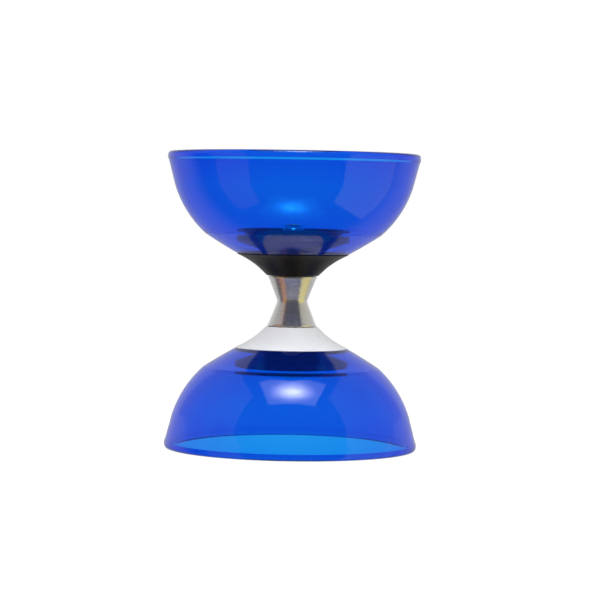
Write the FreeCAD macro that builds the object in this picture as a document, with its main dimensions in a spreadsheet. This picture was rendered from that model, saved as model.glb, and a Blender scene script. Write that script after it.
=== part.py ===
"""Bearing diabolo: two clear bowl-shaped cups, back to back on one threaded axle, round a steel string roller.

The row frame has +Z up along the axle and its origin on the floor, in the middle of the lower cup's rim.
Everything is a body of revolution about Z. Lower pieces are drawn where they are, with heights counted
from the lower rim. An upper piece is the same drawing, turned over and hung from the upper rim.
Everything in the roller is drawn with its base at zero and then lifted to its place.

How it works: the cups, hubs, axle and the bearings' inner rings are clamped into one stack by the two lock
nuts. The roller turns freely round that stack on three ball bearings, so a string can lie still in its
waist while the cups spin.
"""

import FreeCAD, Part
import math
import os
from types import SimpleNamespace

import Sketcher

V = FreeCAD.Vector

SIZES = {
    # whole object
    "total_height": 149.0,
    # cup
    "rim_radius": 63.5,
    "rim_edge": 1.2,
    "rim_band": 4.2,
    "rim_width": 3.0,
    "rim_inner_edge": 0.6,
    "shoulder_radius": 59.75,
    "shoulder_height": 17.0,
    "dome_arc": 54.0,
    "crown_radius": 44.2,
    "crown_height": 41.0,
    "crown_arc": 240.0,
    "foot_radius": 28.15,
    "cup_height": 50.7,
    "wall": 3.0,
    "floor": 3.2,
    "floor_hole": 11.2,
    # outer hub
    "hub_radius": 28.0,
    "hub_land": 0.4,
    "hub_arc": 43.0,
    "hub_throat_radius": 16.8,
    "hub_throat_height": 58.0,
    "hub_end_radius": 12.95,
    "spigot_radius": 11.0,
    "spigot_height": 4.7,
    "hub_core_inner": 13.2,
    "hub_core_bottom": 15.2,
    "hub_core_outer": 23.6,
    "hub_core_depth": 6.1,
    "rib_width": 1.6,
    "rib_drop": 0.3,
    "rib_bite": 0.2,
    # inner hub
    "dish_radius": 28.5,
    "dish_height": 39.0,
    "dish_edge": 3.5,
    "dish_rim": 2.5,
    "dish_well_outer": 25.0,
    "dish_well_outer_height": 41.3,
    "dish_well_inner": 12.6,
    "dish_well_inner_height": 44.0,
    "neck_radius": 16.5,
    "neck_flare": 1.1,
    "boss_radius": 12.0,
    "boss_height": 40.0,
    "nut_well_radius": 8.5,
    "nut_seat_height": 43.4,
    "socket_gap": 0.1,
    "dish_rib_drop": 1.4,
    # axle, nuts and washers
    "axle_radius": 2.985,
    "axle_bore": 3.0,
    "axle_hole": 3.3,
    "axle_end_height": 36.0,
    "axle_chamfer": 0.6,
    "washer_radius": 6.2,
    "washer_thick": 1.2,
    "nut_flats": 10.0,
    "nut_hex_height": 4.2,
    "nut_collar_height": 1.8,
    "nut_collar_radius": 4.7,
    "nut_collar_wall": 0.6,
    "nut_chamfer": 0.5,
    "insert_thick": 1.5,
    "insert_radius": 4.1,
    # roller
    "roller_half": 12.5,
    "roller_end_radius": 12.2,
    "roller_land": 1.0,
    "roller_cone_end_radius": 11.88,
    "waist_radius": 7.62,
    "waist_arc": 3.5,
    "waist_half": 1.28,
    "waist_edge_radius": 7.86,
    "roller_bore": 6.0,
    "clip_groove_radius": 6.45,
    "clip_groove_width": 0.75,
    "roller_bore_chamfer": 0.4,
    "hub_gap": 0.35,
    # bearings
    "bearing_pitch": 8.2,
    "bearing_width": 4.0,
    "ball_radius": 0.794,
    "ball_circle": 4.5,
    "race_radius": 0.83,
    "inner_shoulder": 3.95,
    "outer_shoulder": 5.05,
    "ring_chamfer": 0.2,
    "shield_thick": 0.2,
    "shield_inset": 0.2,
    "shield_bore": 4.1,
    "cage_inner": 4.15,
    "cage_outer": 4.85,
    "cage_width": 2.4,
    "pocket_radius": 0.86,
    # spacers, bushes and clips
    "inner_spacer_radius": 3.85,
    "outer_spacer_bore": 5.3,
    "bush_radius": 4.5,
    "bush_nose_radius": 4.4,
    "bush_flange_radius": 5.5,
    "bush_flange_thick": 1.25,
    "clip_bore": 5.35,
    "clip_radius": 6.4,
    "clip_thick": 0.65,
    "clip_side_gap": 0.05,
    "clip_eye_circle": 5.62,
    "clip_eye_radius": 0.78,
    "clip_eye_hole": 0.35,
}
BALLS = 8
HUB_RIBS = 8
DISH_RIBS = 6
CLIP_TURN = 310.0
CLIP_EYE_INSET = 7.0


class Dim:
    """A size: its number now, and the sheet expression that drives it."""

    def __init__(self, value, text):
        self.value = value
        self.text = text

    @staticmethod
    def of(other):
        return other if isinstance(other, Dim) else Dim(float(other), repr(float(other)))

    def join(self, sign, other, value):
        return Dim(value, f"({self.text} {sign} {Dim.of(other).text})")

    def __add__(self, other):
        return self.join("+", other, self.value + Dim.of(other).value)

    def __sub__(self, other):
        return self.join("-", other, self.value - Dim.of(other).value)

    def __mul__(self, other):
        return self.join("*", other, self.value * Dim.of(other).value)

    def __truediv__(self, other):
        return self.join("/", other, self.value / Dim.of(other).value)


def root(dim):
    return Dim(math.sqrt(dim.value), f"sqrt({dim.text})")


def write_sheet(doc):
    """Puts every driving size in a sheet, and returns each as a Dim under its own name."""
    sheet = doc.addObject("Spreadsheet::Sheet", "sheet")
    found = {}
    for row, (name, value) in enumerate(SIZES.items(), start=1):
        sheet.set(f"A{row}", name)
        sheet.set(f"B{row}", str(value))
        sheet.setAlias(f"B{row}", name)
        found[name] = Dim(value, f"sheet.{name}")
    doc.recompute()
    return SimpleNamespace(**found)


def plane(body, role):
    return next(f for f in body.Origin.OriginFeatures if f.Role == role)


def new_body(label):
    body = doc.addObject("PartDesign::Body", label)
    body.Label = label
    return body


def pin_point(sketch, geo, end, x, y):
    """Holds one sketch point at (x, y), each driven by the sheet, or on an axis where it is 0."""
    for kind, axis, size in (("DistanceX", -2, x), ("DistanceY", -1, y)):
        if isinstance(size, Dim):
            at = sketch.addConstraint(Sketcher.Constraint(kind, -1, 1, geo, end, size.value))
            sketch.setExpression(f"Constraints[{at}]", size.text)
        else:
            sketch.addConstraint(Sketcher.Constraint("PointOnObject", geo, end, axis))


def arc_between(start, end, radius):
    """The arc from start to end that bends to the left, or to the right if radius is negative."""
    chord = end - start
    half = chord.Length / 2
    left = V(-chord.y, chord.x, 0).normalize()
    rise = math.sqrt(radius * radius - half * half)
    centre = start + chord * 0.5 + left * (rise if radius > 0 else -rise)
    first, last = (start, end) if radius > 0 else (end, start)
    circle = Part.Circle(centre, V(0, 0, 1), abs(radius))
    from_angle = math.atan2(first.y - centre.y, first.x - centre.x)
    to_angle = math.atan2(last.y - centre.y, last.x - centre.x)
    return Part.ArcOfCircle(circle, from_angle, to_angle)


def corner(x, y, arc=None, right=False):
    """One corner of an outline. arc is the radius of the edge to the next corner, which is else straight."""
    return SimpleNamespace(x=x, y=y, arc=arc, right=right)


def number(size):
    return size.value if isinstance(size, Dim) else float(size)


def draw(body, name, corners, role="XZ_Plane"):
    """A closed sketch through the corners, every corner and arc driven by the sheet."""
    sketch = body.newObject("Sketcher::SketchObject", name)
    sketch.AttachmentSupport = [(plane(body, role), "")]
    sketch.MapMode = "FlatFace"
    places = [V(number(c.x), number(c.y), 0) for c in corners]
    ends = []
    for i, c in enumerate(corners):
        here, there = places[i], places[(i + 1) % len(corners)]
        if c.arc is None:
            geo = sketch.addGeometry(Part.LineSegment(here, there))
            ends.append((geo, 1, 2))
        else:
            signed = -c.arc.value if c.right else c.arc.value
            geo = sketch.addGeometry(arc_between(here, there, signed))
            ends.append((geo, 2, 1) if c.right else (geo, 1, 2))
    for i, (geo, first, last) in enumerate(ends):
        after, after_first, _ = ends[(i + 1) % len(ends)]
        sketch.addConstraint(Sketcher.Constraint("Coincident", geo, last, after, after_first))
    for c, (geo, first, last) in zip(corners, ends):
        pin_point(sketch, geo, first, c.x, c.y)
        if c.arc is not None:
            at = sketch.addConstraint(Sketcher.Constraint("Radius", geo, c.arc.value))
            sketch.setExpression(f"Constraints[{at}]", c.arc.text)
    return sketch


def revolve(body, corners, name="outline", kind="PartDesign::Revolution", angle=360.0):
    sketch = draw(body, name, corners)
    turned = body.newObject(kind, name + "_turn")
    turned.Profile = sketch
    turned.ReferenceAxis = (sketch, ["V_Axis"])
    turned.Angle = angle
    return turned


def turned_part(label, corners):
    """A sub-part that is one outline turned about Z."""
    body = new_body(label)
    revolve(body, corners)
    return body


def ring(label, bore, radius, low, high):
    """A plain ring or tube."""
    return turned_part(
        label, [corner(bore, low), corner(radius, low), corner(radius, high), corner(bore, high)]
    )


def repeat(body, feature, count):
    """Repeats a feature evenly about Z."""
    doc.recompute()
    pattern = body.newObject("PartDesign::PolarPattern", feature.Name + "_pattern")
    pattern.Originals = [feature]
    pattern.Axis = (plane(body, "Z_Axis"), [""])
    pattern.Angle = 360.0
    pattern.Occurrences = count
    body.Tip = pattern


def add_ribs(body, corners, width, count):
    """Radial ribs: one, as thick as width, and then its pattern about Z."""
    sketch = draw(body, "rib", corners)
    pad = body.newObject("PartDesign::Pad", "rib_pad")
    pad.Profile = sketch
    pad.SideType = "Symmetric"
    pad.Length = width.value
    pad.setExpression("Length", width.text)
    repeat(body, pad, count)


def hang(part):
    """Turns a lower piece over and hangs it from the upper rim."""
    part.Placement = FreeCAD.Placement(
        V(0, 0, d.total_height.value), FreeCAD.Rotation(V(1, 0, 0), 180)
    )
    part.setExpression("Placement.Base.z", d.total_height.text)
    return part


def lift(part, height):
    """Lifts a piece that is drawn from zero to its height on the axle."""
    part.Placement = FreeCAD.Placement(V(0, 0, height.value), FreeCAD.Rotation())
    part.setExpression("Placement.Base.z", height.text)
    return part


def along(sketch_from, sketch_to):
    """The unit direction from one (radius, height) pair to another, as two Dims."""
    across = sketch_to[0] - sketch_from[0]
    up = sketch_to[1] - sketch_from[1]
    length = root(across * across + up * up)
    return across / length, up / length


def offset_corner(before, point, after, distance):
    """Where two edges that meet at a point would meet if both moved left by a distance. Their directions
    are given as unit pairs."""
    match = before[0] * after[0] + before[1] * after[1]
    share = distance / (match + 1)
    return point[0] - (before[1] + after[1]) * share, point[1] + (before[0] + after[0]) * share


def arc_end(start, end, radius):
    """The unit direction at the end of an arc that bends left."""
    across, up = along(start, end)
    width, rise = end[0] - start[0], end[1] - start[1]
    sine = root(width * width + rise * rise) / (radius * 2)
    cosine = root((sine * sine) * -1 + 1)
    return across * cosine - up * sine, across * sine + up * cosine


def cup(label):
    """A bowl: a flat rim face, an upright band, a straight skirt, a domed arc, and a shallow crown down to a
    flat floor. Inside, the wall is even, but grows a little thicker from the shoulder to the rim."""
    band = (d.rim_radius, d.rim_band)
    shoulder = (d.shoulder_radius, d.shoulder_height)
    crown = (d.crown_radius, d.crown_height)
    foot = (d.foot_radius, d.cup_height)
    skirt_r, skirt_z = along(band, shoulder)
    cone_r, cone_z = along(crown, foot)
    shoulder_in = (shoulder[0] - d.wall * skirt_z, shoulder[1] + d.wall * skirt_r)
    crown_in = offset_corner(arc_end(shoulder, crown, d.dome_arc), crown, (cone_r, cone_z), d.wall)
    floor_in = d.cup_height - d.floor
    foot_in = crown_in[0] + (floor_in - crown_in[1]) * cone_r / cone_z
    rim_in = d.rim_radius - d.rim_width
    edge_start = rim_in - (rim_in - shoulder_in[0]) * d.rim_inner_edge / shoulder_in[1]
    edge_width = rim_in + d.rim_inner_edge - edge_start
    edge_arc = (edge_width * edge_width + d.rim_inner_edge * d.rim_inner_edge) / (d.rim_inner_edge * 2)
    return turned_part(
        label,
        [
            corner(d.rim_radius - d.rim_edge, 0, arc=d.rim_edge),
            corner(d.rim_radius, d.rim_edge),
            corner(*band),
            corner(*shoulder, arc=d.dome_arc),
            corner(*crown, arc=d.crown_arc),
            corner(*foot),
            corner(d.floor_hole, d.cup_height),
            corner(d.floor_hole, floor_in),
            corner(foot_in, floor_in),
            corner(*crown_in, arc=d.dome_arc - d.wall, right=True),
            corner(*shoulder_in),
            corner(edge_start, d.rim_inner_edge, arc=edge_arc),
            corner(rim_in + d.rim_inner_edge, 0),
        ],
    )


def outer_hub(label):
    """A trumpet-shaped plastic hub that backs the cup's floor. A spigot centres the cup, and the hub is cored
    out behind the floor, with ribs across the hollow."""
    body = new_body(label)
    spigot_end = d.cup_height - d.spigot_height
    core_bottom = d.cup_height + d.hub_core_depth
    revolve(
        body,
        [
            corner(d.bush_radius, spigot_end),
            corner(d.spigot_radius, spigot_end),
            corner(d.spigot_radius, d.cup_height),
            corner(d.hub_core_inner, d.cup_height),
            corner(d.hub_core_inner, core_bottom),
            corner(d.hub_core_bottom, core_bottom),
            corner(d.hub_core_outer, d.cup_height),
            corner(d.hub_radius, d.cup_height),
            corner(d.hub_radius, d.cup_height + d.hub_land, arc=d.hub_arc, right=True),
            corner(d.hub_throat_radius, d.hub_throat_height),
            corner(d.hub_end_radius, hub_end),
            corner(d.bush_radius, hub_end),
        ],
    )
    rib_top = d.cup_height + d.rib_drop
    add_ribs(
        body,
        [
            corner(d.hub_core_inner - d.rib_bite, rib_top),
            corner(d.hub_core_inner - d.rib_bite, core_bottom + d.rib_bite),
            corner(d.hub_core_bottom, core_bottom + d.rib_bite),
            corner(d.hub_core_outer, rib_top),
        ],
        d.rib_width,
        HUB_RIBS,
    )
    return body


def inner_hub(label):
    """A dished plastic clamp inside the cup. Its neck presses on the cup's floor and its boss holds the nut
    in a well. Ribs stiffen the dish."""
    body = new_body(label)
    floor_in = d.cup_height - d.floor
    spigot_end = d.cup_height - d.spigot_height
    socket = d.spigot_radius + d.socket_gap
    cone_end = floor_in - d.neck_flare
    revolve(
        body,
        [
            corner(d.bush_radius, d.nut_seat_height),
            corner(d.nut_well_radius, d.nut_seat_height),
            corner(d.nut_well_radius, d.boss_height),
            corner(d.boss_radius, d.boss_height),
            corner(d.dish_well_inner, d.dish_well_inner_height),
            corner(d.dish_well_outer, d.dish_well_outer_height),
            corner(d.dish_radius - d.dish_rim, d.dish_height),
            corner(d.dish_radius, d.dish_height),
            corner(d.dish_radius, d.dish_height + d.dish_edge),
            corner(d.neck_radius + d.neck_flare, cone_end),
            corner(d.neck_radius, floor_in),
            corner(socket, floor_in),
            corner(socket, spigot_end),
            corner(d.bush_radius, spigot_end),
        ],
    )
    rib_top = d.dish_height + d.dish_rib_drop
    add_ribs(
        body,
        [
            corner(d.boss_radius - d.rib_bite, rib_top),
            corner(d.boss_radius - d.rib_bite, d.dish_well_inner_height + d.rib_bite),
            corner(d.dish_well_inner, d.dish_well_inner_height + d.rib_bite),
            corner(d.dish_well_outer + d.rib_bite, d.dish_well_outer_height + d.rib_bite),
            corner(d.dish_radius - d.dish_rim, rib_top),
        ],
        d.rib_width,
        DISH_RIBS,
    )
    return body


def hub_bush(label):
    """A flanged metal bush in the hub's bore. Its nose pushes on the end bearing's inner ring only."""
    nose_end = mid - d.bearing_pitch - d.bearing_width / 2
    flange_end = hub_end + d.bush_flange_thick
    return turned_part(
        label,
        [
            corner(d.axle_bore, d.nut_seat_height),
            corner(d.bush_radius, d.nut_seat_height),
            corner(d.bush_radius, hub_end),
            corner(d.bush_flange_radius, hub_end),
            corner(d.bush_flange_radius, flange_end),
            corner(d.bush_nose_radius, flange_end),
            corner(d.bush_nose_radius, nose_end),
            corner(d.axle_bore, nose_end),
        ],
    )


def washer(label):
    seat = d.nut_seat_height
    return ring(label, d.axle_hole, d.washer_radius, seat - d.washer_thick, seat)


def lock_nut(label):
    """A hexagon nut with chamfered corners and a round collar that holds a nylon ring."""
    body = new_body(label)
    seat = d.nut_seat_height - d.washer_thick
    hex_end = seat - d.nut_hex_height
    sketch = body.newObject("Sketcher::SketchObject", "hexagon")
    sketch.AttachmentSupport = [(plane(body, "XY_Plane"), "")]
    sketch.MapMode = "FlatFace"
    sketch.AttachmentOffset = FreeCAD.Placement(V(0, 0, hex_end.value), FreeCAD.Rotation())
    sketch.setExpression("AttachmentOffset.Base.z", hex_end.text)
    reach = d.nut_flats.value / math.sqrt(3)
    turns = [math.radians(60 * i) for i in range(6)]
    points = [V(reach * math.cos(a), reach * math.sin(a), 0) for a in turns]
    for i, point in enumerate(points):
        sketch.addGeometry(Part.LineSegment(point, points[(i + 1) % 6]))
    for i in range(6):
        sketch.addConstraint(Sketcher.Constraint("Coincident", i, 2, (i + 1) % 6, 1))
    guide = sketch.addGeometry(Part.Circle(V(0, 0, 0), V(0, 0, 1), reach), True)
    sketch.addConstraint(Sketcher.Constraint("Coincident", guide, 3, -1, 1))
    for i in range(6):
        sketch.addConstraint(Sketcher.Constraint("PointOnObject", i, 1, guide))
        if i:
            sketch.addConstraint(Sketcher.Constraint("Equal", 0, i))
    sketch.addConstraint(Sketcher.Constraint("PointOnObject", 0, 1, -1))
    at = sketch.addConstraint(Sketcher.Constraint("Radius", guide, reach))
    sketch.setExpression(f"Constraints[{at}]", f"{d.nut_flats.text} / sqrt(3)")
    pad = body.newObject("PartDesign::Pad", "hexagon_pad")
    pad.Profile = sketch
    pad.Length = d.nut_hex_height.value
    pad.setExpression("Length", d.nut_hex_height.text)
    doc.recompute()
    collar_end = hex_end - d.nut_collar_height
    collar_in = d.nut_collar_radius - d.nut_collar_wall
    revolve(
        body,
        [
            corner(d.axle_bore, hex_end + d.nut_chamfer),
            corner(d.nut_collar_radius, hex_end + d.nut_chamfer),
            corner(d.nut_collar_radius, collar_end),
            corner(collar_in, collar_end),
            corner(collar_in, hex_end),
            corner(d.axle_bore, hex_end),
        ],
        name="collar",
    )
    doc.recompute()
    flat = d.nut_flats / 2
    outside = d.nut_flats * 0.6
    revolve(
        body,
        [
            corner(0, hex_end),
            corner(d.axle_bore, hex_end),
            corner(d.axle_bore, seat + d.nut_chamfer),
            corner(0, seat + d.nut_chamfer),
        ],
        name="thread_bore",
        kind="PartDesign::Groove",
    )
    doc.recompute()
    for name, edge, inward in (("seat", seat, -1.0), ("crown", hex_end, 1.0)):
        rise = edge + (outside - flat) * (0.5 * inward)
        revolve(
            body,
            [corner(flat, edge), corner(outside, edge), corner(outside, rise)],
            name=f"{name}_chamfer",
            kind="PartDesign::Groove",
        )
        doc.recompute()
    return body


def nut_insert(label):
    """The nylon ring that grips the thread."""
    low = d.nut_seat_height - d.washer_thick - d.nut_hex_height - d.insert_thick
    return ring(label, d.axle_bore, d.insert_radius, low, low + d.insert_thick)


def axle(label):
    """A round rod with chamfered ends, the same at both ends."""
    low = d.axle_end_height
    high = d.total_height - low
    end = d.axle_radius - d.axle_chamfer
    return turned_part(
        label,
        [
            corner(0, low),
            corner(end, low),
            corner(d.axle_radius, low + d.axle_chamfer),
            corner(d.axle_radius, high - d.axle_chamfer),
            corner(end, high),
            corner(0, high),
        ],
    )


def roller(label):
    """The hourglass that the string runs in: two cones that meet in a rounded waist, a narrow land at each
    end, and a straight bore with a clip groove near each mouth."""
    centre = d.roller_half
    top = centre * 2
    cone = d.roller_half - d.roller_land
    groove_in = d.bearing_pitch + d.bearing_width / 2
    groove_out = groove_in + d.clip_groove_width
    edge = d.roller_bore_chamfer
    outer = [
        corner(d.roller_bore + edge, 0),
        corner(d.roller_end_radius, 0),
        corner(d.roller_end_radius, centre - cone),
        corner(d.roller_cone_end_radius, centre - cone),
        corner(d.waist_edge_radius, centre - d.waist_half, arc=d.waist_arc, right=True),
        corner(d.waist_edge_radius, centre + d.waist_half),
        corner(d.roller_cone_end_radius, centre + cone),
        corner(d.roller_end_radius, centre + cone),
        corner(d.roller_end_radius, top),
        corner(d.roller_bore + edge, top),
    ]
    bore = [
        corner(d.roller_bore, top - edge),
        corner(d.roller_bore, centre + groove_out),
        corner(d.clip_groove_radius, centre + groove_out),
        corner(d.clip_groove_radius, centre + groove_in),
        corner(d.roller_bore, centre + groove_in),
        corner(d.roller_bore, centre - groove_in),
        corner(d.clip_groove_radius, centre - groove_in),
        corner(d.clip_groove_radius, centre - groove_out),
        corner(d.roller_bore, centre - groove_out),
        corner(d.roller_bore, edge),
    ]
    return turned_part(label, outer + bore)


def race_ring(label, back, shoulder, outward):
    """A bearing ring: a plain back, and a round groove for the balls in its other face. outward is 1 for the
    inner ring, whose back is nearer the axle, and -1 for the outer ring."""
    top = d.bearing_width
    middle = d.bearing_width / 2
    depth = (d.ball_circle - shoulder) if outward > 0 else (shoulder - d.ball_circle)
    half_groove = root(d.race_radius * d.race_radius - depth * depth)
    chamfer = d.ring_chamfer * outward
    return turned_part(
        label,
        [
            corner(back + chamfer, 0),
            corner(shoulder, 0),
            corner(shoulder, middle - half_groove, arc=d.race_radius, right=outward > 0),
            corner(shoulder, middle + half_groove),
            corner(shoulder, top),
            corner(back + chamfer, top),
            corner(back, top - d.ring_chamfer),
            corner(back, d.ring_chamfer),
        ],
    )


def ball_set(label):
    """A ring of equal balls, one compound of separate solids."""
    balls = []
    for i in range(BALLS):
        ball = doc.addObject("Part::Sphere", f"{label}_{i}")
        turn = 360.0 * i / BALLS
        place = V(d.ball_circle.value, 0, d.bearing_width.value / 2)
        ball.Placement = FreeCAD.Placement(
            FreeCAD.Rotation(V(0, 0, 1), turn).multVec(place), FreeCAD.Rotation()
        )
        ball.setExpression("Placement.Base.x", f"{d.ball_circle.text} * cos({turn})")
        ball.setExpression("Placement.Base.y", f"{d.ball_circle.text} * sin({turn})")
        ball.setExpression("Placement.Base.z", f"{d.bearing_width.text} / 2")
        ball.setExpression("Radius", d.ball_radius.text)
        balls.append(ball)
    group = doc.addObject("Part::Compound", label)
    group.Label = label
    group.Links = balls
    return group


def cage(label):
    """The ring that keeps the balls apart: a band with a round hole across it for each ball."""
    body = new_body(label)
    middle = d.bearing_width / 2
    edge = d.cage_width / 2
    revolve(
        body,
        [
            corner(d.cage_inner, middle - edge),
            corner(d.cage_outer, middle - edge),
            corner(d.cage_outer, middle + edge),
            corner(d.cage_inner, middle + edge),
        ],
        name="band",
    )
    doc.recompute()
    sketch = body.newObject("Sketcher::SketchObject", "pocket")
    sketch.AttachmentSupport = [(plane(body, "YZ_Plane"), "")]
    sketch.MapMode = "FlatFace"
    circle = sketch.addGeometry(Part.Circle(V(0, middle.value, 0), V(0, 0, 1), d.pocket_radius.value))
    pin_point(sketch, circle, 3, 0, middle)
    at = sketch.addConstraint(Sketcher.Constraint("Radius", circle, d.pocket_radius.value))
    sketch.setExpression(f"Constraints[{at}]", d.pocket_radius.text)
    hole = body.newObject("PartDesign::Pocket", "pocket_hole")
    hole.Profile = sketch
    reach = d.cage_outer + d.cage_width
    hole.Length = reach.value
    hole.setExpression("Length", reach.text)
    repeat(body, hole, BALLS)
    return body


def shield(label, low):
    """A thin steel ring fixed in the outer ring, just clear of the inner ring."""
    return ring(label, d.shield_bore, d.outer_shoulder, low, low + d.shield_thick)


def bearing(name, centre):
    """One shielded ball bearing, with its middle at the given height."""
    foot = centre - d.bearing_width / 2
    far_shield = d.bearing_width - d.shield_inset - d.shield_thick
    pieces = [
        race_ring(f"{name}_bearing_inner_ring", d.axle_bore, d.inner_shoulder, 1.0),
        race_ring(f"{name}_bearing_outer_ring", d.roller_bore, d.outer_shoulder, -1.0),
        ball_set(f"{name}_bearing_balls"),
        cage(f"{name}_bearing_cage"),
        shield(f"{name}_bearing_bottom_shield", d.shield_inset),
        shield(f"{name}_bearing_top_shield", far_shield),
    ]
    return [lift(piece, foot) for piece in pieces]


def spacers(name, foot):
    """The inner and outer tubes that keep two bearings apart, standing on the lower of the two."""
    length = d.bearing_pitch - d.bearing_width
    inner = ring(f"{name}_inner_spacer", d.axle_bore, d.inner_spacer_radius, 0, length)
    outer = ring(f"{name}_outer_spacer", d.outer_spacer_bore, d.roller_bore, 0, length)
    return [lift(inner, foot), lift(outer, foot)]


def retaining_clip(label):
    """An internal spring clip: an open ring with an eye at each end for the pliers."""
    body = new_body(label)
    low = mid - d.bearing_pitch - d.bearing_width / 2 - d.clip_side_gap - d.clip_thick
    high = low + d.clip_thick
    revolve(
        body,
        [
            corner(d.clip_bore, low),
            corner(d.clip_radius, low),
            corner(d.clip_radius, high),
            corner(d.clip_bore, high),
        ],
        angle=CLIP_TURN,
    )
    doc.recompute()
    for name, turn in (("first", -CLIP_EYE_INSET), ("last", CLIP_EYE_INSET - CLIP_TURN)):
        sketch = body.newObject("Sketcher::SketchObject", f"{name}_eye")
        sketch.AttachmentSupport = [(plane(body, "XY_Plane"), "")]
        sketch.MapMode = "FlatFace"
        sketch.AttachmentOffset = FreeCAD.Placement(V(0, 0, low.value), FreeCAD.Rotation())
        sketch.setExpression("AttachmentOffset.Base.z", low.text)
        angle = math.radians(turn * CLIP_SENSE)
        centre = V(math.cos(angle), math.sin(angle), 0) * d.clip_eye_circle.value
        for size in (d.clip_eye_radius, d.clip_eye_hole):
            geo = sketch.addGeometry(Part.Circle(centre, V(0, 0, 1), size.value))
            at = sketch.addConstraint(Sketcher.Constraint("Radius", geo, size.value))
            sketch.setExpression(f"Constraints[{at}]", size.text)
            at = sketch.addConstraint(Sketcher.Constraint("DistanceX", -1, 1, geo, 3, centre.x))
            sketch.setExpression(
                f"Constraints[{at}]", f"{d.clip_eye_circle.text} * cos({turn * CLIP_SENSE})"
            )
            at = sketch.addConstraint(Sketcher.Constraint("DistanceY", -1, 1, geo, 3, centre.y))
            sketch.setExpression(
                f"Constraints[{at}]", f"{d.clip_eye_circle.text} * sin({turn * CLIP_SENSE})"
            )
        pad = body.newObject("PartDesign::Pad", f"{name}_eye_pad")
        pad.Profile = sketch
        pad.Length = d.clip_thick.value
        pad.setExpression("Length", d.clip_thick.text)
        doc.recompute()
    return body


def half(name, place):
    """One cup with its hubs, bush, washer, nut and the clip at its end of the roller."""
    pieces = [
        cup(f"{name}_cup"),
        outer_hub(f"{name}_outer_hub"),
        inner_hub(f"{name}_inner_hub"),
        hub_bush(f"{name}_hub_bush"),
        washer(f"{name}_washer"),
        lock_nut(f"{name}_lock_nut"),
        nut_insert(f"{name}_lock_nut_insert"),
        retaining_clip(f"{name}_retaining_clip"),
    ]
    return [place(piece) for piece in pieces]


def build():
    """Every sub-part of the diabolo."""
    made = half("lower", lambda piece: piece) + half("upper", hang)
    made.append(axle("axle"))
    made.append(lift(roller("roller"), mid - d.roller_half))
    made += bearing("lower", mid - d.bearing_pitch)
    made += bearing("middle", mid)
    made += bearing("upper", mid + d.bearing_pitch)
    made += spacers("lower", mid - d.bearing_pitch + d.bearing_width / 2)
    made += spacers("upper", mid + d.bearing_width / 2)
    return made


def check(parts):
    """Stops the build if any object failed, or if a sub-part isn't a sound solid."""
    for thing in doc.Objects:
        if {"Invalid", "Error"} & set(thing.State):
            raise SystemExit(f"{thing.Label} failed: {thing.State}")
    for part in parts:
        shape = part.Shape
        if shape.isNull() or not shape.isValid() or not shape.Solids:
            raise SystemExit(f"{part.Label} is not a valid solid")


doc = FreeCAD.newDocument("diabolo")
d = write_sheet(doc)
mid = d.total_height / 2
hub_end = mid - d.roller_half - d.hub_gap
CLIP_SENSE = -1.0
parts = build()
doc.recompute()
check(parts)
os.makedirs("parts", exist_ok=True)
for part in parts:
    part.Shape.exportStep(f"parts/{part.Label}.step")
print(len(parts), "sub-parts")
for part in parts:
    box = part.Shape.BoundBox
    print(
        f"{part.Label:32s} solids {len(part.Shape.Solids)} volume {part.Shape.Volume:9.2f}"
        f" z {box.ZMin:7.2f} to {box.ZMax:7.2f} radius {box.XMax:6.2f}"
    )
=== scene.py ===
"""The bearing diabolo as it looks in a white studio: clear blue cups, flared hubs and a polished string roller.

The object's lengths are in millimetres until piece() turns them into metres. The studio's are in metres. The
main pieces are turned round the Z axis, like the real ones, which are moulded or cut on a lathe. Each piece of
the lower half is drawn once, and flip() turns its outline over for the upper half.
"""

import math

import bmesh
import bpy
from mathutils import Matrix, Vector

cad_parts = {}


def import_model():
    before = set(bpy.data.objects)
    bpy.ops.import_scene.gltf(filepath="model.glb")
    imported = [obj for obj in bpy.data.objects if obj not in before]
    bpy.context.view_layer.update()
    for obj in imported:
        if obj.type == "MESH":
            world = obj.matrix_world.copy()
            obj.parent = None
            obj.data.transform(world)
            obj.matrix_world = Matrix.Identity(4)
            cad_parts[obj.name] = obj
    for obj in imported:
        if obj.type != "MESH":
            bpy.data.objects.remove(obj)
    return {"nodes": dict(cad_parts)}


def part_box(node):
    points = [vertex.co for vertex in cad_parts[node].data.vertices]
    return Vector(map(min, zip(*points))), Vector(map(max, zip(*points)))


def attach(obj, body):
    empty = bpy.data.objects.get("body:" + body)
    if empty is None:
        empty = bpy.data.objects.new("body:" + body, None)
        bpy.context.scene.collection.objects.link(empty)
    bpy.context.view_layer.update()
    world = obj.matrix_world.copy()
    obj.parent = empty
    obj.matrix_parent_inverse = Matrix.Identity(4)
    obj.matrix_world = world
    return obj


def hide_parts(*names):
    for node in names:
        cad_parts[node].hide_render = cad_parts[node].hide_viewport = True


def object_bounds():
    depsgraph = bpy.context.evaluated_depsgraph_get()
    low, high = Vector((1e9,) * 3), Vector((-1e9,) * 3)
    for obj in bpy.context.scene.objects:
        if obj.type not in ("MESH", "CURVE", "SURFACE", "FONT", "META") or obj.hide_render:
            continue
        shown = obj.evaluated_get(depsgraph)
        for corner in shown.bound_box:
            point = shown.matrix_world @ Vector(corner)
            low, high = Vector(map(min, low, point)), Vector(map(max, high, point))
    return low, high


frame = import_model()
cad_low, cad_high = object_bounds()

MM = 0.001
TAU = math.tau
CUPS = "cups_and_axle"
ROLLER = "roller"
HALVES = ("lower", "upper")
BEARINGS = ("lower", "middle", "upper")
TOUCH_GAP = 0.03  # between two pieces that touch, so that their faces never coincide


def corner_mm(node):
    """The lowest and highest corner of a CAD node, in millimetres."""
    low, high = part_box(node)
    return Vector(low) / MM, Vector(high) / MM


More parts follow.
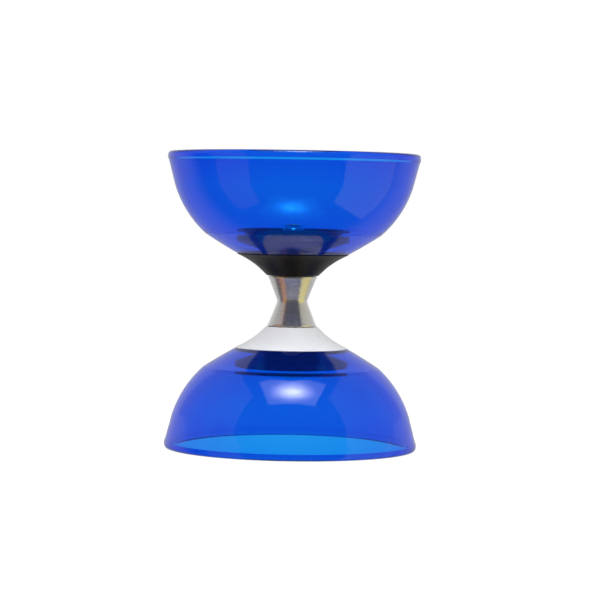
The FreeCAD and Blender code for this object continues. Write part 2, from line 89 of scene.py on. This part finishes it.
HEIGHT = cad_high[2] / MM
RIM = corner_mm("lower_cup")[1].x
CUP_TOP = corner_mm("lower_cup")[1].z
HUB_TOP = corner_mm("lower_outer_hub")[1].z
ROLLER_LOW = corner_mm("roller")[0].z
ROLLER_HIGH = corner_mm("roller")[1].z
ROLLER_RADIUS = corner_mm("roller")[1].x
WASHER_LOW, HUB_SEAT = (corner.z for corner in corner_mm("lower_washer"))
NUT_LOW = corner_mm("lower_lock_nut")[0].z

WALL = 3.0
FLOOR = 3.2
FLOOR_HOLE = 11.2
RIM_WIDTH = 3.0
BAND_HEIGHT = 4.2
BAND_STEP = 0.45
SHOULDER = Vector((RIM - 3.75, 17.0))
CROWN = Vector((44.2, 41.0))
FOOT = Vector((28.15, CUP_TOP))
DOME_ARC = 54.0
CROWN_ARC = 240.0

HUB_BORE = 4.5
SPIGOT = 11.0
SPIGOT_LOW = CUP_TOP - 4.7
RIB = 1.6

PITCH = 1.0
THREAD_DEPTH = 0.5


# ---------------------------------------------------------------- outlines


def arc(start, end, radius, steps):
    """Points after start, up to end, on an arc that bends left, or right if radius is negative."""
    start, end = Vector(start), Vector(end)
    chord = end - start
    left = Vector((-chord.y, chord.x)).normalized()
    rise = math.sqrt(radius * radius - chord.length_squared / 4)
    centre = (start + end) / 2 + left * math.copysign(rise, radius)
    arm = start - centre
    turn = 2 * math.asin(chord.length / 2 / abs(radius)) * math.copysign(1, radius)
    points = []
    for i in range(1, steps + 1):
        angle = turn * i / steps
        cos, sin = math.cos(angle), math.sin(angle)
        points.append(centre + Vector((arm.x * cos - arm.y * sin, arm.x * sin + arm.y * cos)))
    return points


def walk(path, index, step, length):
    """The point at a length along a closed path from one of its points, and the points passed on the way."""
    here, passed = path[index], []
    while True:
        index = (index + step) % len(path)
        ahead = path[index]
        span = (ahead - here).length
        if span >= length:
            return here.lerp(ahead, length / span), passed
        length -= span
        here = ahead
        passed.append(index)


def outline(corners, steps=5):
    """A closed outline. Each corner is (r, z), (r, z, softness) or (r, z, softness, arc radius to the next)."""
    path, soft = [], {}
    for i, corner in enumerate(corners):
        point = Vector(corner[:2])
        after = Vector(corners[(i + 1) % len(corners)][:2])
        if len(corner) > 2 and corner[2]:
            soft[len(path)] = corner[2]
        path.append(point)
        if len(corner) > 3:
            count = max(6, round((after - point).length / 0.9))
            path += arc(point, after, corner[3], count)[:-1]
    dropped, rounded = set(), {}
    for index, cut in soft.items():
        before, passed_before = walk(path, index, -1, cut)
        beyond, passed_beyond = walk(path, index, 1, cut)
        dropped.update(passed_before, passed_beyond)
        tip = path[index]
        rounded[index] = [
            before.lerp(tip, t).lerp(tip.lerp(beyond, t), t) for t in (k / steps for k in range(steps + 1))
        ]
    smooth = []
    for index, point in enumerate(path):
        if index not in dropped:
            smooth += rounded.get(index, [point])
    return smooth


def flip(points):
    """The same outline, turned over and hung from the top of the upper cup."""
    return [Vector((p.x, HEIGHT - p.y)) for p in points]


# ---------------------------------------------------------------- meshes


def piece(name, bm, material, body, replaced=(), sharp=35.0):
    """Makes an object of a finished bmesh drawn in millimetres, and ties it to its CAD body."""
    bmesh.ops.remove_doubles(bm, verts=bm.verts, dist=1e-5)
    bmesh.ops.recalc_face_normals(bm, faces=bm.faces)
    bmesh.ops.scale(bm, vec=(MM, MM, MM), verts=bm.verts)
    mesh = bpy.data.meshes.new(name)
    bm.to_mesh(mesh)
    bm.free()
    mesh.shade_smooth()
    mesh.set_sharp_from_angle(angle=math.radians(sharp))
    mesh.materials.append(material)
    obj = bpy.data.objects.new(name, mesh)
    bpy.context.scene.collection.objects.link(obj)
    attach(obj, body)
    if replaced:
        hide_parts(*replaced)
    return obj


def add_rings(bm, rings, closed=True):
    """Joins rings of points, each as long as the next, with four-sided faces."""
    made = [[bm.verts.new(p) for p in ring] for ring in rings]
    last = len(made) if closed else len(made) - 1
    for i in range(last):
        here, there = made[i], made[(i + 1) % len(made)]
        for k in range(len(here)):
            after = (k + 1) % len(here)
            bm.faces.new((here[k], here[after], there[after], there[k]))
    return made


def circle_of(radius, z, segments):
    """A ring of points at one height."""
    angles = (TAU * k / segments for k in range(segments))
    return [(radius * math.cos(angle), radius * math.sin(angle), z) for angle in angles]


def add_turned(bm, points, segments):
    """Turns a closed outline round the axle."""
    add_rings(bm, [circle_of(max(p.x, 0.0), p.y, segments) for p in points])


def turned(points, segments):
    """A new mesh of one turned outline."""
    bm = bmesh.new()
    add_turned(bm, points, segments)
    return bm


def add_rib(bm, outline_points, thickness, angle):
    """A flat rib, drawn as an outline of (r, z) and set at an angle round the axle."""
    turn = Matrix.Rotation(angle, 3, "Z")
    sides = []
    for offset in (-thickness / 2, thickness / 2):
        sides.append([bm.verts.new(turn @ Vector((r, offset, z))) for r, z in outline_points])
    bm.faces.new(sides[0])
    bm.faces.new(reversed(sides[1]))
    for i in range(len(outline_points)):
        after = (i + 1) % len(outline_points)
        bm.faces.new((sides[0][i], sides[0][after], sides[1][after], sides[1][i]))


# ---------------------------------------------------------------- materials


class Shader:
    """A Principled material, and short ways to add procedural detail to it."""

    def __init__(self, name, **values):
        self.material = bpy.data.materials.new(name)
        self.material.use_nodes = True
        self.nodes = self.material.node_tree.nodes
        self.links = self.material.node_tree.links
        self.surface = self.nodes["Principled BSDF"]
        for key, value in values.items():
            self.surface.inputs[key.replace("_", " ")].default_value = value
        self.place = self.node("ShaderNodeTexCoord").outputs["Object"]

    def node(self, kind, **settings):
        made = self.nodes.new(kind)
        for key, value in settings.items():
            setattr(made, key, value)
        return made

    def stretched(self, x, y, z):
        """The object's own coordinates, stretched."""
        mapping = self.node("ShaderNodeMapping")
        mapping.inputs["Scale"].default_value = (x, y, z)
        self.links.new(self.place, mapping.inputs["Vector"])
        return mapping.outputs["Vector"]

    def noise(self, scale, detail=4.0, where=None):
        made = self.node("ShaderNodeTexNoise")
        made.inputs["Scale"].default_value = scale
        made.inputs["Detail"].default_value = detail
        self.links.new(where or self.place, made.inputs["Vector"])
        return made.outputs["Fac"]

    def ramp(self, source, low, high, from_low=0.3, from_high=0.7):
        """Maps a 0 to 1 pattern to a range of numbers."""
        made = self.node("ShaderNodeMapRange")
        for key, value in (
            ("From Min", from_low),
            ("From Max", from_high),
            ("To Min", low),
            ("To Max", high),
        ):
            made.inputs[key].default_value = value
        self.links.new(source, made.inputs["Value"])
        return made.outputs["Result"]

    def tint(self, source, first, second):
        """A colour between two, by a 0 to 1 pattern."""
        made = self.node("ShaderNodeMix", data_type="RGBA")
        self.links.new(source, made.inputs["Factor"])
        made.inputs["A"].default_value = (*first, 1)
        made.inputs["B"].default_value = (*second, 1)
        return made.outputs["Result"]

    def drive(self, key, source):
        self.links.new(source, self.surface.inputs[key])
        return self

    def bump(self, source, strength, depth_mm):
        made = self.node("ShaderNodeBump")
        made.inputs["Strength"].default_value = strength
        made.inputs["Distance"].default_value = depth_mm * MM
        self.links.new(source, made.inputs["Height"])
        if self.surface.inputs["Normal"].is_linked:
            self.links.new(self.surface.inputs["Normal"].links[0].from_socket, made.inputs["Normal"])
        self.links.new(made.outputs["Normal"], self.surface.inputs["Normal"])
        return self


def clear_blue():
    """Glossy see-through plastic whose colour deepens with the length of the way through it."""
    shader = Shader("clear_blue", Base_Color=(1, 1, 1, 1), Roughness=0.02, IOR=1.49)
    shader.surface.inputs["Transmission Weight"].default_value = 1.0
    shader.surface.inputs["Sheen Weight"].default_value = 0.17
    shader.surface.inputs["Sheen Roughness"].default_value = 1.0
    shader.surface.inputs["Sheen Tint"].default_value = (0.01, 0.09, 1.0, 1)
    absorb = shader.node("ShaderNodeVolumeAbsorption")
    absorb.inputs["Color"].default_value = (0.0, 0.76, 0.973, 1)
    absorb.inputs["Density"].default_value = 1400.0
    output = shader.nodes["Material Output"]
    shader.links.new(absorb.outputs["Volume"], output.inputs["Volume"])
    return shader.material


def moulded(name, dark, light, roughness, grain_mm=0.02, gloss=0.5):
    """Satin moulded plastic: a faint mottle, a fine grain and uneven gloss."""
    shader = Shader(name, IOR=1.48, Specular_IOR_Level=gloss)
    mottle = shader.noise(60.0)
    shader.drive("Base Color", shader.tint(shader.ramp(mottle, 0.0, 1.0), dark, light))
    shader.drive("Roughness", shader.ramp(shader.noise(240.0), roughness - 0.05, roughness + 0.07))
    shader.bump(shader.noise(2600.0, 2.0), 0.35, grain_mm)
    return shader.material


def machined(name, dark, light, roughness, marks=0.25, rings_mm=0.35, streak=0.0):
    """Metal turned on a lathe, with fine rings round the axle, and a gloss that varies with them.

    streak draws the gloss out across the rings.
    """
    shader = Shader(name, Metallic=1.0, Anisotropic=streak, Anisotropic_Rotation=0.25)
    if streak:
        round_axle = shader.node("ShaderNodeTangent", direction_type="RADIAL", axis="Z")
        shader.drive("Tangent", round_axle.outputs["Tangent"])
    flat = shader.stretched(0.02, 0.02, 1.0)
    rings = shader.noise(1.0 / (rings_mm * MM), 3.0, flat)
    smear = shader.noise(90.0)
    shader.drive("Base Color", shader.tint(shader.ramp(smear, 0.0, 1.0), dark, light))
    shader.drive("Roughness", shader.ramp(rings, roughness * 0.8, roughness * 1.35))
    shader.bump(rings, marks, 0.01)
    return shader.material


blue = clear_blue()
black = moulded("black_plastic", (0.002, 0.002, 0.002), (0.003, 0.003, 0.003), 0.33, gloss=0.12)
white = moulded("white_plastic", (0.89, 0.9, 0.92), (0.93, 0.94, 0.955), 0.32)
polished = machined(
    "polished_steel", (0.92, 0.91, 0.88), (0.96, 0.95, 0.93), 0.3, marks=0.015, rings_mm=0.3, streak=0.92
)
plated = machined("zinc_plate", (0.6, 0.61, 0.63), (0.74, 0.75, 0.76), 0.22)
rod_steel = machined("rod_steel", (0.55, 0.56, 0.58), (0.68, 0.69, 0.71), 0.25)
light_metal = machined("light_metal", (0.68, 0.69, 0.71), (0.78, 0.79, 0.8), 0.24)
dark_steel = machined("spring_steel", (0.09, 0.09, 0.1), (0.16, 0.16, 0.165), 0.35)
ring_steel = machined("ring_steel", (0.52, 0.53, 0.55), (0.62, 0.63, 0.65), 0.16)
ball_steel = machined("ball_steel", (0.74, 0.74, 0.76), (0.82, 0.82, 0.84), 0.05, marks=0.02)
pressed = machined("pressed_steel", (0.45, 0.45, 0.47), (0.58, 0.58, 0.6), 0.3)
nylon = moulded("nylon", (0.6, 0.64, 0.68), (0.72, 0.75, 0.78), 0.4)


# ---------------------------------------------------------------- cups and hubs


def offset_meet(first, second, third, distance):
    """Where two edges that meet at second would meet if both moved left by a distance."""
    before, after = (second - first).normalized(), (third - second).normalized()
    left_before, left_after = Vector((-before.y, before.x)), Vector((-after.y, after.x))
    return second + (left_before + left_after) * (distance / (1 + left_before.dot(left_after)))


def cup_outline():
    """Rim band, straight skirt, domed shoulder, crown and floor, and then back down the inside of the wall."""
    band = Vector((RIM, BAND_HEIGHT))
    skirt = (SHOULDER - band).normalized()
    cone = (FOOT - CROWN).normalized()
    shoulder_in = SHOULDER + Vector((-skirt.y, skirt.x)) * WALL
    chord = CROWN - SHOULDER
    half_turn = math.asin(chord.length / 2 / DOME_ARC)
    end = math.atan2(chord.y, chord.x) + half_turn
    tangent = Vector((math.cos(end), math.sin(end)))
    crown_in = offset_meet(CROWN - tangent, CROWN, FOOT, WALL)
    floor_in = CUP_TOP - FLOOR
    foot_in = crown_in + cone * ((floor_in - crown_in.y) / cone.y)
    return outline(
        [
            (RIM, 0.0, 2.0),
            (RIM, BAND_HEIGHT - 0.7, 0.3),
            (RIM - BAND_STEP, BAND_HEIGHT + 0.1, 0.3),
            (SHOULDER.x, SHOULDER.y, 0, DOME_ARC),
            (CROWN.x, CROWN.y, 0.12, CROWN_ARC),
            (FOOT.x, FOOT.y, 0.25),
            (FLOOR_HOLE, CUP_TOP, 0.1),
            (FLOOR_HOLE, floor_in, 0.1),
            (foot_in.x, floor_in, 0.3),
            (crown_in.x, crown_in.y, 0, WALL - DOME_ARC),
            (shoulder_in.x, shoulder_in.y),
            (RIM - RIM_WIDTH, 0.0, 0.8),
        ],
        steps=8,
    )


def outer_hub(name, place, material):
    """The trumpet between a cup and the roller, with a spigot through the cup's floor and a ribbed hollow."""
    seat = CUP_TOP + TOUCH_GAP
    bush_seat = HUB_TOP + TOUCH_GAP - 0.1
    hollow = CUP_TOP + 6.1
    ribs = 8
    points = outline(
        [
            (HUB_BORE, SPIGOT_LOW, 0.1),
            (SPIGOT, SPIGOT_LOW, 0.3),
            (SPIGOT, seat),
            (13.2, seat, 0.2),
            (13.2, hollow, 0.3),
            (15.2, hollow, 0.3),
            (23.6, seat, 0.2),
            (28.0, seat, 0.15),
            (28.0, CUP_TOP + 0.4, 0.15, -43.0),
            (16.8, 58.0),
            (12.95, HUB_TOP, 0.22),
            (5.6, HUB_TOP, 0.1),
            (5.6, bush_seat),
            (HUB_BORE, bush_seat),
        ]
    )
    bm = bmesh.new()
    add_turned(bm, place(points), 224)
    rib_top = hollow + 0.2
    rib = [Vector(p) for p in ((13.0, seat + 0.3), (13.0, rib_top), (15.2, rib_top), (23.6, seat + 0.3))]
    for i in range(ribs):
        add_rib(bm, place(rib), RIB, TAU * i / ribs)
    return piece(f"{name}_outer_hub_shell", bm, material, CUPS, [f"{name}_outer_hub"])


def inner_hub(name, place):
    """The dished clamp inside the cup, with ribs in the dish and a well for the nut."""
    floor_in = CUP_TOP - FLOOR - TOUCH_GAP
    boss = HUB_SEAT - 3.4
    ribs = 6
    points = outline(
        [
            (HUB_BORE, HUB_SEAT),
            (8.5, HUB_SEAT, 0.2),
            (8.5, boss, 0.3),
            (12.0, boss, 0.4),
            (12.6, 44.0, 0.6),
            (25.0, 41.3, 0.8),
            (26.0, 39.0, 0.5),
            (28.5, 39.0, 0.7),
            (28.5, 42.5, 0.7),
            (17.6, floor_in - 1.1, 0.9),
            (16.5, floor_in, 0.2),
            (11.1, floor_in, 0.1),
            (11.1, SPIGOT_LOW, 0.1),
            (HUB_BORE, SPIGOT_LOW),
        ]
    )
    bm = bmesh.new()
    add_turned(bm, place(points), 192)
    rib = [Vector(p) for p in ((11.8, 40.4), (12.6, 44.2), (25.2, 41.5), (26.0, 40.4))]
    for i in range(ribs):
        add_rib(bm, place(rib), RIB, TAU * i / ribs)
    return piece(f"{name}_inner_hub_dish", bm, black, CUPS, [f"{name}_inner_hub"])


# ---------------------------------------------------------------- axle, washers and nuts


def axle():
    """The threaded rod. Its ends are cut with a real helical thread, and its middle is plain."""
    low, high = (corner_mm("axle")[i].z for i in (0, 1))
    radius = corner_mm("axle")[1].x
    segments, step = 48, PITCH / 10
    chamfer, flank = 0.6, 1.25
    plain_low, plain_high = HUB_TOP - 2.0, HEIGHT - HUB_TOP + 2.0
    count = round((high - low) / step)
    rings = [[(0, 0, low)] * segments]
    for i in range(count + 1):
        z = low + (high - low) * i / count
        from_end = min(z - low, high - z)
        crest = radius - max(0.0, chamfer - from_end)
        ring = []
        for k in range(segments):
            turn = k / segments
            phase = (z / PITCH - turn) % 1.0
            cut = THREAD_DEPTH * (1 - min(1.0, abs(phase * 2 - 1) * flank))
            if plain_low < z < plain_high:
                cut = 0.0
            r = min(crest, radius - cut)
            ring.append((r * math.cos(TAU * turn), r * math.sin(TAU * turn), z))
        rings.append(ring)
    rings.append([(0, 0, high)] * segments)
    bm = bmesh.new()
    add_rings(bm, rings, closed=False)
    return piece("axle_thread", bm, rod_steel, CUPS, ["axle"], sharp=40.0)


def washer(name, place):
    """A flat washer, its outer edge rounded on the side that it was stamped from."""
    top = HUB_SEAT - 0.02
    points = outline([(3.3, WASHER_LOW, 0.08), (6.2, WASHER_LOW, 0.3), (6.2, top, 0.12), (3.3, top, 0.08)])
    bm = turned(place(points), 96)
    return piece(f"{name}_washer_ring", bm, plated, CUPS, [f"{name}_washer"])


def lock_nut(name, place):
    """A hexagon nut, its corners turned off at both ends, with a collar rolled over a nylon ring."""
    seat, crown = WASHER_LOW - 0.02, NUT_LOW + 1.8
    flat = 5.0
    face = flat * 0.96
    bore = 3.0
    chamfer_slope = 0.55
    segments = 144

    def hexagon(angle):
        return flat / math.cos((angle + TAU / 12) % (TAU / 6) - TAU / 12)

    def ring(radius, z):
        return circle_of(radius, z, segments)

    def hex_ring(edge, inward):
        points = []
        for k in range(segments):
            angle = TAU * (k / segments)
            r = hexagon(angle)
            z = edge + inward * (r - face) * chamfer_slope
            points.append((r * math.cos(angle), r * math.sin(angle), z))
        return points

    rings = [
        ring(bore, seat),
        ring(face, seat),
        hex_ring(seat, -1),
        hex_ring(crown, 1),
        ring(face, crown),
        ring(4.75, crown - 0.02),
        ring(4.7, crown - 0.2),
        ring(4.7, crown - 1.2),
        ring(4.55, crown - 1.6),
        ring(4.25, crown - 1.8),
        ring(3.95, crown - 1.72),
        ring(3.9, crown - 1.5),
        ring(4.1, crown - 1.3),
        ring(4.1, crown),
        ring(bore, crown),
    ]
    bm = bmesh.new()
    add_rings(bm, [[(x, y, place([Vector((0, z))])[0].y) for x, y, z in points] for points in rings])
    nut = piece(f"{name}_nut_body", bm, plated, CUPS, [f"{name}_lock_nut"], sharp=24.0)
    grip_low, grip_high = (corner.z for corner in corner_mm("lower_lock_nut_insert"))
    grip = outline([(bore, grip_low, 0.15), (4.05, grip_low, 0.2), (4.05, grip_high), (bore, grip_high)])
    bm = turned(place(grip), 96)
    piece(f"{name}_nut_grip", bm, nylon, CUPS, [f"{name}_lock_nut_insert"])
    return nut


def hub_bush(name, place):
    """The flanged metal bush that passes through both hubs and presses on the end bearing."""
    bore, sleeve = 3.0, HUB_BORE - 0.02
    tail = HUB_SEAT + 0.02
    under = HUB_TOP + TOUCH_GAP
    flange = HUB_TOP + 1.25
    nose = HEIGHT / 2 - 10.2
    points = outline(
        [
            (bore, tail, 0.1),
            (sleeve, tail, 0.1),
            (sleeve, under),
            (5.5, under, 0.1),
            (5.5, flange, 0.15),
            (4.4, flange, 0.1),
            (4.4, nose, 0.1),
            (bore, nose, 0.1),
        ]
    )
    bm = turned(place(points), 96)
    return piece(f"{name}_bush_sleeve", bm, light_metal, CUPS, [f"{name}_hub_bush"])


# ---------------------------------------------------------------- roller


def roller():
    """The hourglass that the string runs in, polished, with a bright land at each end."""
    middle = (ROLLER_LOW + ROLLER_HIGH) / 2
    land = 1.0
    half = middle - ROLLER_LOW - land
    under_land = ROLLER_RADIUS - 0.32
    waist, waist_half = 7.86, 1.28
    bore, chamfer = 6.0, 0.4
    groove, groove_in, groove_out = 6.45, 10.2, 10.95
    outside = [
        (bore + chamfer, ROLLER_LOW, 0.1),
        (ROLLER_RADIUS, ROLLER_LOW, 0.25),
        (ROLLER_RADIUS, middle - half, 0.14),
        (under_land, middle - half, 0.12),
        (waist, middle - waist_half, 0, -3.5),
        (waist, middle + waist_half),
        (under_land, middle + half, 0.12),
        (ROLLER_RADIUS, middle + half, 0.14),
        (ROLLER_RADIUS, ROLLER_HIGH, 0.25),
        (bore + chamfer, ROLLER_HIGH, 0.1),
    ]
    inside = [
        (bore, ROLLER_HIGH - chamfer),
        (bore, middle + groove_out),
        (groove, middle + groove_out),
        (groove, middle + groove_in),
        (bore, middle + groove_in),
        (bore, middle - groove_in),
        (groove, middle - groove_in),
        (groove, middle - groove_out),
        (bore, middle - groove_out),
        (bore, ROLLER_LOW + chamfer),
    ]
    bm = turned(outline(outside + inside), 224)
    return piece("roller_hourglass", bm, polished, ROLLER, ["roller"])


def paint(node, material):
    """A CAD node keeps its shape and takes a finish."""
    mesh = frame["nodes"][node].data
    mesh.materials.clear()
    mesh.materials.append(material)


def finish_bearings():
    """The bearings, spacers and clips inside the roller keep their CAD shapes."""
    for name in BEARINGS:
        paint(f"{name}_bearing_inner_ring", ring_steel)
        paint(f"{name}_bearing_outer_ring", ring_steel)
        paint(f"{name}_bearing_balls", ball_steel)
        paint(f"{name}_bearing_cage", pressed)
        paint(f"{name}_bearing_bottom_shield", pressed)
        paint(f"{name}_bearing_top_shield", pressed)
    for name in HALVES:
        paint(f"{name}_inner_spacer", light_metal)
        paint(f"{name}_outer_spacer", light_metal)
        paint(f"{name}_retaining_clip", dark_steel)


def build_object():
    """Every visible piece, the lower half first. place() sets an outline of the lower half in its own half."""
    for name, place, hub_plastic, hub_slot in (
        ("lower", list, white, "white_plastic"),
        ("upper", flip, black, "black_plastic"),
    ):
        piece(f"{name}_cup_shell", turned(place(cup_outline()), 256), blue, CUPS, [f"{name}_cup"])
        outer_hub(name, place, hub_plastic)
        inner_hub(name, place)
        hub_bush(name, place)
        washer(name, place)
        lock_nut(name, place)
    axle()
    roller()
    finish_bearings()


# ---------------------------------------------------------------- studio


def emission(name, colour, strength, hot=0.0):
    """A card's light: even, or with a brighter middle."""
    material = bpy.data.materials.new(name)
    material.use_nodes = True
    nodes, links = material.node_tree.nodes, material.node_tree.links
    nodes.clear()
    output = nodes.new("ShaderNodeOutputMaterial")
    light = nodes.new("ShaderNodeEmission")
    light.inputs["Color"].default_value = (*colour, 1)
    light.inputs["Strength"].default_value = strength
    if hot:
        place = nodes.new("ShaderNodeTexCoord")
        ball = nodes.new("ShaderNodeTexGradient")
        ball.gradient_type = "QUADRATIC_SPHERE"
        scale = nodes.new("ShaderNodeMapRange")
        scale.inputs["To Min"].default_value = strength
        scale.inputs["To Max"].default_value = strength + hot
        links.new(place.outputs["Object"], ball.inputs["Vector"])
        links.new(ball.outputs["Fac"], scale.inputs["Value"])
        links.new(scale.outputs["Result"], light.inputs["Strength"])
    links.new(light.outputs["Emission"], output.inputs["Surface"])
    return material


def card(name, centre, aim, width, height, colour, strength, hot=0.0):
    """A light panel that lights the object and shows in its gloss, but not to the camera."""
    mesh = bpy.data.meshes.new(name)
    corners = [(-1, -1, 0), (1, -1, 0), (1, 1, 0), (-1, 1, 0)]
    mesh.from_pydata(corners, [], [(0, 1, 2, 3)])
    mesh.materials.append(emission(name, colour, strength, hot))
    obj = bpy.data.objects.new(name, mesh)
    bpy.context.scene.collection.objects.link(obj)
    obj.location = centre
    obj.rotation_mode = "QUATERNION"
    obj.rotation_quaternion = (Vector(aim) - Vector(centre)).to_track_quat("Z", "Y")
    obj.scale = (width / 2, height / 2, 1)
    obj.visible_camera = False
    obj.visible_transmission = False
    return obj


def world():
    """A white backdrop, and a room that shows in the object's gloss.

    The room is bright at the far side and a little dimmer low down. Rays that pass through the clear plastic see
    the white backdrop too, but for the ceiling.
    """
    made = bpy.data.worlds.new("studio")
    bpy.context.scene.world = made
    made.use_nodes = True
    nodes, links = made.node_tree.nodes, made.node_tree.links
    nodes.clear()
    place = nodes.new("ShaderNodeTexCoord")
    split = nodes.new("ShaderNodeSeparateXYZ")
    links.new(place.outputs["Generated"], split.inputs["Vector"])

    def ramp(axis, start, end, low, high, interpolation="LINEAR"):
        """A number that goes from low to high as the direction's axis goes from start to end."""
        made = nodes.new("ShaderNodeMapRange")
        made.interpolation_type = interpolation
        for key, value in (("From Min", start), ("From Max", end), ("To Min", low), ("To Max", high)):
            made.inputs[key].default_value = value
        links.new(split.outputs[axis], made.inputs["Value"])
        return made.outputs["Result"]

    def combine(operation, first, second):
        made = nodes.new("ShaderNodeMath")
        made.operation = operation
        links.new(first, made.inputs[0])
        links.new(second, made.inputs[1])
        return made.outputs["Value"]

    far_side = ramp("Y", 0.1, 0.5, 0.13, 0.8, "SMOOTHSTEP")
    above_floor = ramp("Z", -0.25, 0.05, 0.75, 1.0)
    below_ceiling = ramp("Z", 0.35, 0.6, 1.0, 0.15)
    paths = nodes.new("ShaderNodeLightPath")
    room = nodes.new("ShaderNodeBackground")
    links.new(combine("MULTIPLY", far_side, above_floor), room.inputs["Strength"])
    seen = nodes.new("ShaderNodeBackground")
    seen.inputs["Color"].default_value = (1, 1, 1, 1)
    through = combine("MULTIPLY", paths.outputs["Is Transmission Ray"], below_ceiling)
    mix = nodes.new("ShaderNodeMixShader")
    links.new(combine("MAXIMUM", paths.outputs["Is Camera Ray"], through), mix.inputs["Fac"])
    links.new(room.outputs["Background"], mix.inputs[1])
    links.new(seen.outputs["Background"], mix.inputs[2])
    output = nodes.new("ShaderNodeOutputWorld")
    links.new(mix.outputs["Shader"], output.inputs["Surface"])


def floor():
    """A pale floor that glows evenly, so that it runs into the background."""
    half = 4.0
    under_rim = 0.15 * MM
    mesh = bpy.data.meshes.new("studio_floor")
    mesh.from_pydata([(-half, -half, 0), (half, -half, 0), (half, half, 0), (-half, half, 0)], [], [(0, 1, 2, 3)])
    shader = Shader("floor_white", Base_Color=(0.1, 0.1, 0.1, 1), Roughness=1.0)
    shader.surface.inputs["Emission Color"].default_value = (1, 1, 1, 1)
    shader.surface.inputs["Emission Strength"].default_value = 0.93
    mesh.materials.append(shader.material)
    obj = bpy.data.objects.new("studio_floor", mesh)
    bpy.context.scene.collection.objects.link(obj)
    obj.location.z = -under_rim
    obj.visible_glossy = False


def lights():
    """Softboxes at both sides, a window overhead in front and a black flag overhead behind.

    Two warm walls colour the metal, and a soft fill lights the plastic from the front.
    """
    white = (1, 1, 1)
    for name, x in (("left_softbox", -1.6), ("right_softbox", 1.6)):
        card(name, (x, 0.45, 1.525), (0, 0.45, 1.525), 3.1, 2.35, white, 0.46)
    card("front_window", (0.05, -0.85, 2.0), (0.05, -0.85, 0), 1.7, 1.3, white, 1.5, hot=24.0)
    card("top_flag", (0, 0.9, 2.0), (0, 0.9, 0), 1.44, 1.6, (0, 0, 0), 0.0)
    fill = card("soft_fill", (0, -2.0, 2.4), (0, 0, HEIGHT / 2 * MM), 3.0, 2.0, white, 5.0)
    fill.visible_glossy = False
    card("brown_wall", (-0.87, -0.48, -0.35), (0, 0, -0.35), 0.62, 1.5, (1.0, 0.45, 0.12), 0.42)
    card("ochre_wall", (0.98, -0.2, -0.4), (0, 0, -0.4), 1.1, 1.3, (1.0, 0.88, 0.33), 0.75)


def camera():
    """In front, at the height of the upper cup, looking down a little, and about a degree off upright."""
    distance, height = 1.18, 0.120
    turn, down, lean = -0.055, 2.183, 0.95
    data = bpy.data.cameras.new("camera")
    data.lens = 140.6
    data.sensor_width = 36.0
    data.sensor_fit = "AUTO"
    data.clip_end = 20.0
    obj = bpy.data.objects.new("camera", data)
    bpy.context.scene.collection.objects.link(obj)
    yaw = Matrix.Rotation(math.radians(turn), 4, "Z")
    pitch = Matrix.Rotation(math.radians(90 - down), 4, "X")
    roll = Matrix.Rotation(math.radians(lean), 4, "Z")
    obj.matrix_world = Matrix.Translation((0, -distance, height)) @ yaw @ pitch @ roll
    bpy.context.scene.camera = obj


build_object()
world()
floor()
lights()
camera()
bpy.context.scene.view_settings.view_transform = "Standard"
